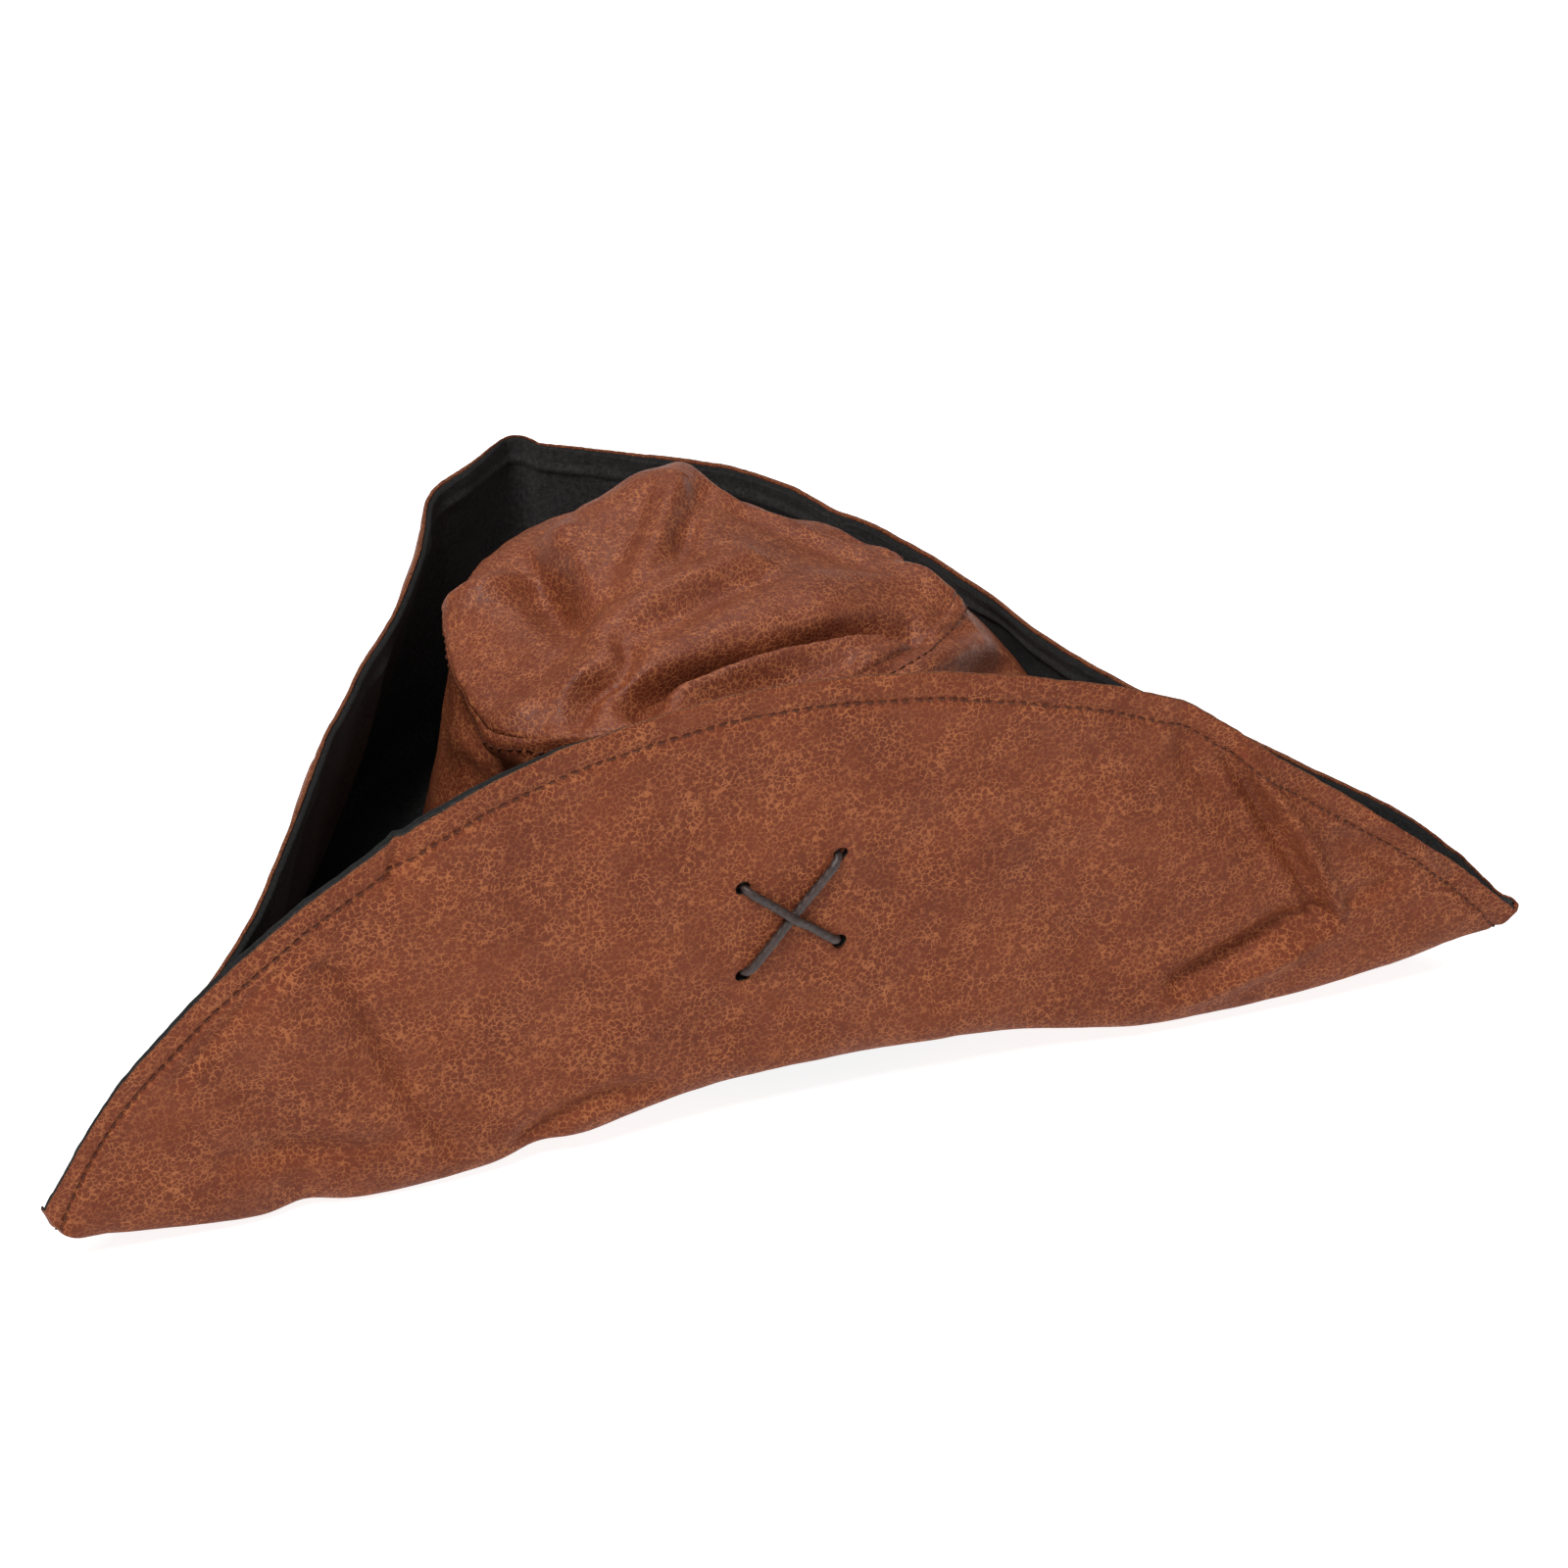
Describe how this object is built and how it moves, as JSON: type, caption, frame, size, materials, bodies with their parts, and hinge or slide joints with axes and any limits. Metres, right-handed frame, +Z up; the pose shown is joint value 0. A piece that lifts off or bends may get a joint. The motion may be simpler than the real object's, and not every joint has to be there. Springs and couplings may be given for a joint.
{
  "type": "pirate hat",
  "caption": "Soft tricorn pirate hat of distressed brown suede, with a slouched round crown and a felt-lined brim turned up in three flaps, the front one laced with a crossed cord.",
  "frame": {"origin": "centre of the head opening, at the height of the table the hat rests on", "axes": "+Z up through the crown, +X from the left brim corner towards the right one, -Y towards the wide front flap"},
  "size_m": [0.4266, 0.2495, 0.1341],
  "materials": {
    "suede": "distressed, crackled, semi-matte",
    "felt": "matte felt",
    "lining": "matte woven cloth",
    "sweatband": "matte woven tape",
    "thread": "matte thread",
    "lace": "waxed cord"
  },
  "bodies": {
    "crown_and_brim": {"crown_tip": "suede", "crown_band": "suede", "crown_tip_lining": "lining", "crown_band_lining": "lining", "sweatband": "sweatband", "tip_seam_stitching": "thread", "foot_seam_stitching": "thread", "sweatband_stitching": "thread", "brim_base_suede": "suede", "brim_base_felt": "felt"},
    "front_flap": {"front_flap_suede": "suede", "front_flap_felt": "felt", "front_flap_stitching": "thread", "front_lace": "lace"},
    "right_flap": {"right_flap_suede": "suede", "right_flap_felt": "felt", "right_flap_stitching": "thread"},
    "left_flap": {"left_flap_suede": "suede", "left_flap_felt": "felt", "left_flap_stitching": "thread"}
  },
  "joints": [
    {"name": "front_flap_flex", "type": "hinge", "parent": "crown_and_brim", "child": "front_flap", "pos_m": [-0.219, -0.104, 0.02], "axis": [1, 0.0024, 0], "range_deg": [-4, 3], "stiffness_Nm_per_rad": 0.8},
    {"name": "right_flap_flex", "type": "hinge", "parent": "crown_and_brim", "child": "right_flap", "pos_m": [0.199, -0.094, 0.021], "axis": [-0.6763, 0.6953, 0.2433], "range_deg": [-4, 3], "stiffness_Nm_per_rad": 0.5},
    {"name": "left_flap_flex", "type": "hinge", "parent": "crown_and_brim", "child": "left_flap", "pos_m": [-0.025, 0.129, 0.1], "axis": [-0.6326, -0.7304, -0.2576], "range_deg": [-4, 3], "stiffness_Nm_per_rad": 0.5}
  ]
}
